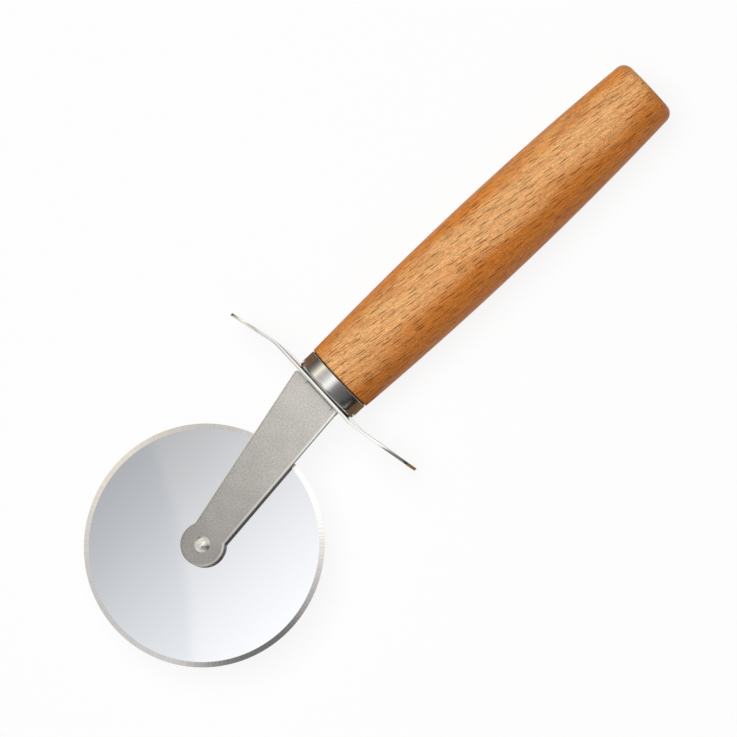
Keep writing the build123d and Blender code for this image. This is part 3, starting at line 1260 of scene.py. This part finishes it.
@dataclass
class Studio:
    """A pale floor, a light tent that polished steel reflects, soft lamps and the camera."""

    focal_length: float = 293.08
    sensor_width: float = 36.0
    clip: tuple[float, float] = (0.05, 50.0)
    camera_place: tuple[float, float, float] = (48.499, -295.867, 1578.560)
    camera_right: tuple[float, float, float] = (0.72840563, -0.66820262, -0.15140458)
    camera_down: tuple[float, float, float] = (-0.68433364, -0.72028438, -0.11344897)
    camera_ahead: tuple[float, float, float] = (-0.03324745, 0.18624811, -0.98193991)
    world_level: float = 0.15
    floor_size: float = 6000.0
    floor_colour: str = "#F4F4F4"
    floor_glow: float = 0.88
    tent_radius: float = 600.0
    tent_length: float = 2400.0
    tent_steps: int = 48
    top_level: float = 2.0
    # Degrees from overhead towards +Y, and brightness
    handle_levels: tuple = (
        (-90, 0.03), (-71, 0.06), (-60, 0.10), (-46, 0.15), (-37, 0.19), (-27, 0.32), (-18, 0.5),
        (-11, 1.15), (-6, 1.5), (3, 1.7), (12, 1.35), (20, 0.95), (30, 0.7),
        (40, 0.95), (48, 1.75), (55, 1.3), (62, 0.7), (70, 0.27), (90, 0.05),
    )
    wheel_levels: tuple = (
        (-90, 0.35), (-45, 0.4), (-25, 0.2), (-16, 0.18), (-11, 0.4), (-6, 1.15), (0, 1.3),
        (4, 1.47), (6, 1.40), (8, 1.25), (10, 1.06), (12, 0.85), (14, 0.68), (17, 0.68),
        (22, 0.95), (32, 1.1), (45, 1.1), (60, 0.7), (90, 0.5),
    )
    warm_beyond: float = 31.0
    change_from: float = -45.0
    change_to: float = -72.0
    cool_turn: float = 10.0
    cool_x: float = -120.7
    cool_slope: float = 412.0
    cool_bow: float = -1480.0
    cool_soft: float = 2.0
    cool_tint: str = "#F2F5F7"
    end_level: str = "#E6E6E6"
    end_from: float = 320.0
    end_to: float = 450.0
    end_lean: float = 70.0
    # Each card's side, its start and end along X, and its nearest and farthest from the handle's axis
    brown_cards: tuple = (
        (1, -16.3, -8.0, 11.0, 24.0),
        (1, -19.0, -7.0, 24.0, 60.0),
        (1, -34.0, 4.0, 60.0, 110.0),
        (1, -70.0, 30.0, 110.0, 250.0),
        (1, -130.0, 60.0, 250.0, 598.0),
        (-1, -16.3, -8.0, 11.0, 24.0),
        (-1, -19.0, 0.0, 24.0, 48.0),
    )
    dark_cards: tuple = (
        (-1, -19.0, 12.0, 48.0, 62.0),
        (-1, -34.0, 40.0, 62.0, 110.0),
        (-1, -70.0, 90.0, 110.0, 250.0),
        (-1, -130.0, 120.0, 250.0, 598.0),
    )
    brown: str = "#8A6B50"
    dark: str = "#3A322C"
    card_lift: float = 0.3
    key_place: tuple[float, float, float] = (0.0, 180.0, 1050.0)
    key_size: float = 700.0
    key_power: float = 9.5
    fill_place: tuple[float, float, float] = (-300.0, -500.0, 900.0)
    fill_size: float = 900.0
    fill_power: float = 1.6

    def seen_or_mirrored(self, tree: NodeTree) -> Node:
        """Tell the rays that show white: the camera's own, and those that metal or glass sends on.

        Args:
            tree: the node tree.

        Returns:
            The node that gives 1 for these rays and 0 for others.
        """
        path = add_node(tree, "LightPath").outputs
        seen = {0: path["Is Camera Ray"], 1: path["Is Glossy Ray"]}
        both = add_node(tree, "Math", seen, operation="ADD")
        seen = {0: both, 1: path["Is Transmission Ray"]}
        return add_node(tree, "Math", seen, operation="ADD", use_clamp=True)

    def put_up(self, name: str, bm: BMesh, mirrored_only: bool) -> NodeTree:
        """Put a thing up on the stage, with an empty material.

        Args:
            name: the thing's name, and its material's.
            bm: its mesh in metres, which is used up.
            mirrored_only: whether only reflections see it.

        Returns:
            The material's node tree, without nodes.
        """
        mesh = bpy.data.meshes.new(name)
        bm.to_mesh(mesh)
        bm.free()
        thing = bpy.data.objects.new(name, mesh)
        bpy.context.scene.collection.objects.link(thing)
        if mirrored_only:
            thing.visible_camera = False
            thing.visible_diffuse = False
            thing.visible_shadow = False
            thing.visible_transmission = False
        material = bpy.data.materials.new(name)
        mesh.materials.append(material)
        return empty_tree(material)

    def world(self) -> None:
        """Light the scene weakly from all round, and show white to the camera and to mirrors."""
        world = bpy.data.worlds.new("studio_white")
        bpy.context.scene.world = world
        tree = empty_tree(world)
        seen = self.seen_or_mirrored(tree)
        strength = add_node(tree, "MapRange", {"Value": seen, "To Min": self.world_level})
        white = add_node(tree, "Background", {"Color": linear(NEUTRAL), "Strength": strength})
        add_node(tree, "OutputWorld", {"Surface": white})

    def floor(self) -> None:
        """Lay the pale paper floor, mostly white to the camera, so that only a soft shadow shows."""
        bm = bmesh.new()
        bmesh.ops.create_grid(bm, x_segments=1, y_segments=1, size=self.floor_size * MM / 2)
        tree = self.put_up("floor", bm, mirrored_only=False)
        seen = self.seen_or_mirrored(tree)
        share = add_node(tree, "Math", {0: seen, 1: self.floor_glow}, operation="MULTIPLY")
        paper = add_node(tree, "BsdfDiffuse", {"Color": linear(self.floor_colour)})
        glow = add_node(tree, "Emission", {"Color": linear(NEUTRAL), "Strength": 1.0})
        mixed = add_node(tree, "MixShader", {0: share, 1: paper, 2: glow})
        add_node(tree, "OutputMaterial", {"Surface": mixed})

    def round_levels(self, tree: NodeTree, share: Node, levels: tuple) -> Node:
        """Change the tent's brightness round the tool.

        Args:
            tree: the tent's node tree.
            share: the node that gives the place round the tool, from 0 to 1.
            levels: degrees from overhead towards +Y, each with its brightness.

        Returns:
            The node that gives the brightness, as a colour.
        """
        stops = []
        for turned, level in levels:
            tint = WARM if turned > self.warm_beyond else NEUTRAL
            stops.append(((turned + 90) / 180, linear(tint, level / self.top_level)))
        return add_node(tree, "ValToRGB", {0: share}, stops=stops)

    def cool_share(self, tree: NodeTree, turn: Node, along: NodeSocket) -> Node:
        """Find the tent's cool part, beyond a bowed edge x = a + b t + c t^2.

        t is the turn past the edge's middle.

        Args:
            tree: the tent's node tree.
            turn: the node that gives the angle from overhead.
            along: the place along X.

        Returns:
            The node that gives 1 in the cool part and 0 outside it.
        """
        past = add_node(tree, "Math", {0: turn, 1: math.radians(self.cool_turn)}, operation="SUBTRACT")
        bow = {0: past, 1: self.cool_bow * MM, 2: self.cool_slope * MM}
        bent = add_node(tree, "Math", bow, operation="MULTIPLY_ADD")
        edge = add_node(tree, "Math", {0: past, 1: bent, 2: self.cool_x * MM}, operation="MULTIPLY_ADD")
        beyond = add_node(tree, "Math", {0: edge, 1: along}, operation="SUBTRACT")
        soft = self.cool_soft * MM
        return add_node(
            tree,
            "MapRange",
            {"Value": beyond, "From Min": -soft, "From Max": soft},
            interpolation_type="SMOOTHSTEP",
        )

    def tent(self) -> None:
        """Hang a half-round tent over the tool, which only reflections see.

        Its brightness changes round the tool, from bright overhead to dark at the sides, and in
        another way over the wheel than over the handle.
        """
        bm = bmesh.new()
        ends = [(end * self.tent_length * MM / 2, -self.tent_radius * MM, 0) for end in (-1, 1)]
        bm.edges.new([bm.verts.new(end) for end in ends])
        bmesh.ops.spin(
            bm,
            geom=bm.verts[:] + bm.edges[:],
            cent=(0, 0, 0),
            axis=-ALONG,
            angle=math.pi,
            steps=self.tent_steps,
        )
        tree = self.put_up("tent", bm, mirrored_only=True)
        place = add_node(tree, "TexCoord").outputs["Object"]
        part = add_node(tree, "SeparateXYZ", {0: place}).outputs
        turn = add_node(tree, "Math", {0: part["Y"], 1: part["Z"]}, operation="ARCTAN2")
        quarter = math.pi / 2
        share = add_node(tree, "MapRange", {"Value": turn, "From Min": -quarter, "From Max": quarter})
        over_handle = self.round_levels(tree, share, self.handle_levels)
        over_wheel = self.round_levels(tree, share, self.wheel_levels)
        wheel_share = add_node(
            tree,
            "MapRange",
            {"Value": part["X"], "From Min": self.change_from * MM, "From Max": self.change_to * MM},
            interpolation_type="SMOOTHSTEP",
        )
        levels = {0: wheel_share, 6: over_handle, 7: over_wheel}
        both = add_node(tree, "Mix", levels, data_type="RGBA")
        tinted = add_node(
            tree,
            "Mix",
            {0: self.cool_share(tree, turn, part["X"]), 6: both, 7: linear(self.cool_tint)},
            data_type="RGBA",
            blend_type="MULTIPLY",
        )
        # Far along, the tent is evenly pale, and sooner at its sides, so that the steel looks light
        # from low angles too
        far = add_node(tree, "Math", {0: part["X"]}, operation="ABSOLUTE")
        aside = add_node(tree, "Math", {0: turn}, operation="ABSOLUTE")
        distance = add_node(
            tree, "Math", {0: aside, 1: self.end_lean * MM, 2: far}, operation="MULTIPLY_ADD"
        )
        end_share = add_node(
            tree,
            "MapRange",
            {"Value": distance, "From Min": self.end_from * MM, "From Max": self.end_to * MM},
            interpolation_type="SMOOTHSTEP",
        )
        ends = {0: end_share, 6: tinted, 7: linear(self.end_level, 1 / self.top_level)}
        colour = add_node(tree, "Mix", ends, data_type="RGBA")
        glow = add_node(tree, "Emission", {"Color": colour, "Strength": self.top_level})
        add_node(tree, "OutputMaterial", {"Surface": glow})

    def cards(self, name: str, colour: str, sizes: tuple) -> None:
        """Lay cards beside the ferrule, which only reflections see.

        The photographed ferrule mirrors something dark and brown at its two sides, so it stands out
        there.

        Args:
            name: the cards' name.
            colour: their colour.
            sizes: each card's side, start, end, nearest and farthest.
        """
        bm = bmesh.new()
        middle_y = middle_mm("ferrule").y
        for side, start, end, near, far in sizes:
            centre = Vector(((start + end) / 2, middle_y + side * (near + far) / 2, self.card_lift))
            half_size = Vector(((end - start) / 2, (far - near) / 2, 1.0))
            bmesh.ops.create_grid(
                bm,
                x_segments=1,
                y_segments=1,
                size=1.0,
                matrix=Matrix.Translation(centre) @ Matrix.Diagonal(half_size).to_4x4(),
            )
        bmesh.ops.scale(bm, vec=(MM, MM, MM), verts=bm.verts)
        tree = self.put_up(name, bm, mirrored_only=True)
        glow = add_node(tree, "Emission", {"Color": linear(colour), "Strength": 1.0})
        add_node(tree, "OutputMaterial", {"Surface": glow})

    def lamp(self, name: str, place: tuple[float, float, float], size: float, power: float) -> None:
        """Hang a square soft lamp that looks at the tool.

        Args:
            name: the lamp's name.
            place: where it hangs.
            size: its side.
            power: its power in watts.
        """
        light = bpy.data.lights.new(name, "AREA")
        light.shape = "SQUARE"
        light.size = size * MM
        light.energy = power
        lamp = bpy.data.objects.new(name, light)
        bpy.context.scene.collection.objects.link(lamp)
        lamp.location = Vector(place) * MM
        lamp.rotation_euler = (-lamp.location).to_track_quat("-Z", "Y").to_euler()
        lamp.visible_glossy = False
        lamp.visible_camera = False

    def camera(self) -> None:
        """Set the camera where the photograph was taken from."""
        data = bpy.data.cameras.new("camera")
        data.lens = self.focal_length
        data.sensor_width = self.sensor_width
        data.clip_start, data.clip_end = self.clip
        camera = bpy.data.objects.new("camera", data)
        bpy.context.scene.collection.objects.link(camera)
        directions = (self.camera_right, self.camera_down, self.camera_ahead)
        right, down, ahead = (Vector(direction) for direction in directions)
        turned = Matrix((right, -down, -ahead)).transposed().to_4x4()
        camera.matrix_world = Matrix.Translation(Vector(self.camera_place) * MM) @ turned
        bpy.context.scene.camera = camera

    def build(self) -> None:
        """Build the world, the floor, the tent, the cards, the lamps and the camera."""
        bpy.context.scene.view_settings.view_transform = "Standard"
        self.world()
        self.floor()
        self.tent()
        self.cards("card_brown", self.brown, self.brown_cards)
        self.cards("card_dark", self.dark, self.dark_cards)
        self.lamp("key", self.key_place, self.key_size, self.key_power)
        self.lamp("fill", self.fill_place, self.fill_size, self.fill_power)
        self.camera()


def main() -> None:
    """Build the pieces in order, then the studio, and note the sizes."""
    logging.basicConfig(level=logging.INFO, format="%(name)s: %(message)s")
    for assembly in (WheelAssembly(), ArmAssembly(), HandleAssembly()):
        for piece in assembly.build():
            count, surface = len(piece.data.vertices), piece.active_material.name
            log.info("%s: %d vertices, %s", piece.name, count, surface)
    Studio().build()


if __name__ == "__main__":
    main()
